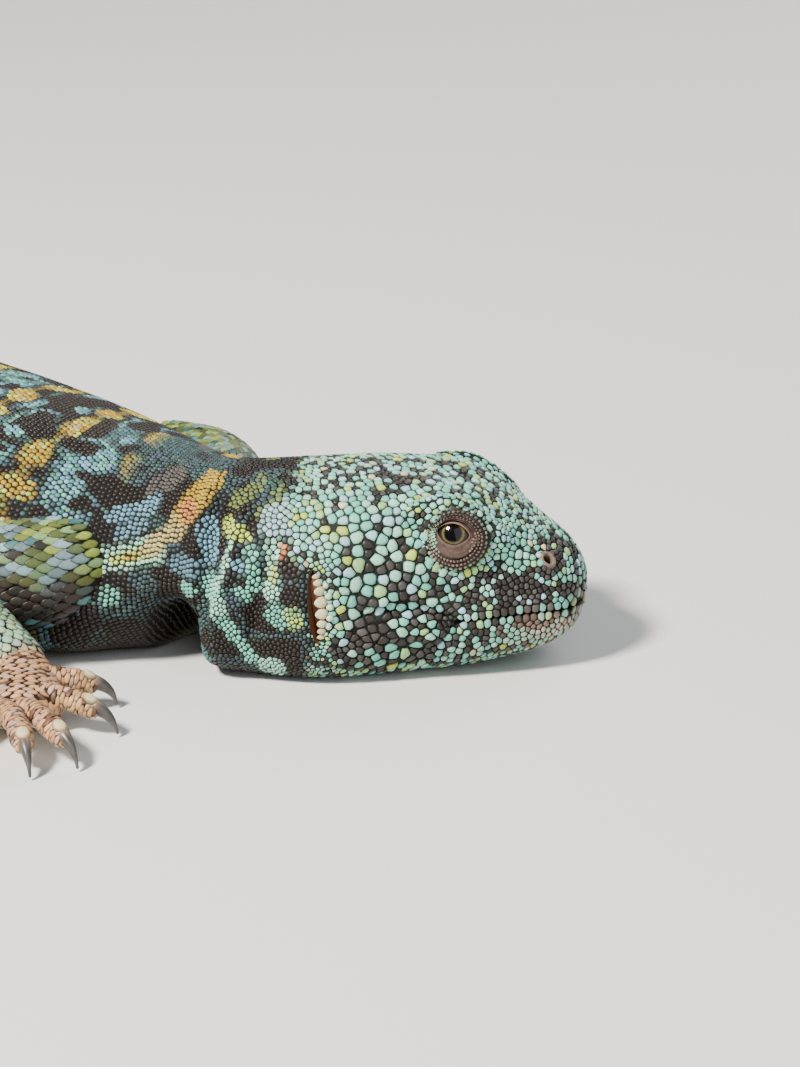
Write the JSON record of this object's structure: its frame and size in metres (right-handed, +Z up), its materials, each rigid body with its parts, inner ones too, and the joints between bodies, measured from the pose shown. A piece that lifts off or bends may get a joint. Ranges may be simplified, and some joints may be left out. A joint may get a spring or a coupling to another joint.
{
  "type": "uromastyx",
  "caption": "Life-size spiny-tailed lizard lying flat, head turned to its left, with turquoise head scales, a banded back and a ringed, spiny tail.",
  "frame": {"origin": "on the floor, under the middle of the model's box", "axes": "+X towards the front of the torso, +Y to the animal's left, +Z up"},
  "size_m": [0.3324, 0.1448, 0.0322],
  "materials": {
    "head_skin": "satin scales, turquoise and mint over dark skin",
    "body_skin": "satin scales, dark with yellow and blue-green bands",
    "limb_skin": "satin scales, green over dark skin",
    "foot_skin": "satin scales, sand coloured",
    "tail_skin": "satin spiny scales, olive and sand",
    "claw": "smooth horn, grey-brown with a paler root",
    "eye": "wet and glossy, dark pupil in a thin gold-brown ring",
    "eardrum": "smooth orange-brown skin"
  },
  "bodies": {
    "root": {"belly": "body_skin", "chest": "body_skin", "eardrum_left": "eardrum", "eardrum_right": "eardrum", "eye_left": "eye", "eye_right": "eye", "front_left_claw_1": "claw", "front_left_claw_2": "claw", "front_left_claw_3": "claw", "front_left_claw_4": "claw", "front_left_claw_5": "claw", "front_left_forearm": "limb_skin", "front_left_hand": "foot_skin", "front_left_upper_arm": "limb_skin", "front_right_claw_1": "claw", "front_right_claw_2": "claw", "front_right_claw_3": "claw", "front_right_claw_4": "claw", "front_right_claw_5": "claw", "front_right_forearm": "limb_skin", "front_right_hand": "foot_skin", "front_right_upper_arm": "limb_skin", "head": "head_skin", "hind_left_claw_1": "claw", "hind_left_claw_2": "claw", "hind_left_claw_3": "claw", "hind_left_claw_4": "claw", "hind_left_claw_5": "claw", "hind_left_foot": "foot_skin", "hind_left_shin": "limb_skin", "hind_left_thigh": "limb_skin", "hind_right_claw_1": "claw", "hind_right_claw_2": "claw", "hind_right_claw_3": "claw", "hind_right_claw_4": "claw", "hind_right_claw_5": "claw", "hind_right_foot": "foot_skin", "hind_right_shin": "limb_skin", "hind_right_thigh": "limb_skin", "hips": "body_skin", "jaw": "head_skin", "neck": "body_skin", "tail_1": "tail_skin", "tail_2": "tail_skin", "tail_3": "tail_skin", "tail_4": "tail_skin"}
  },
  "joints": []
}
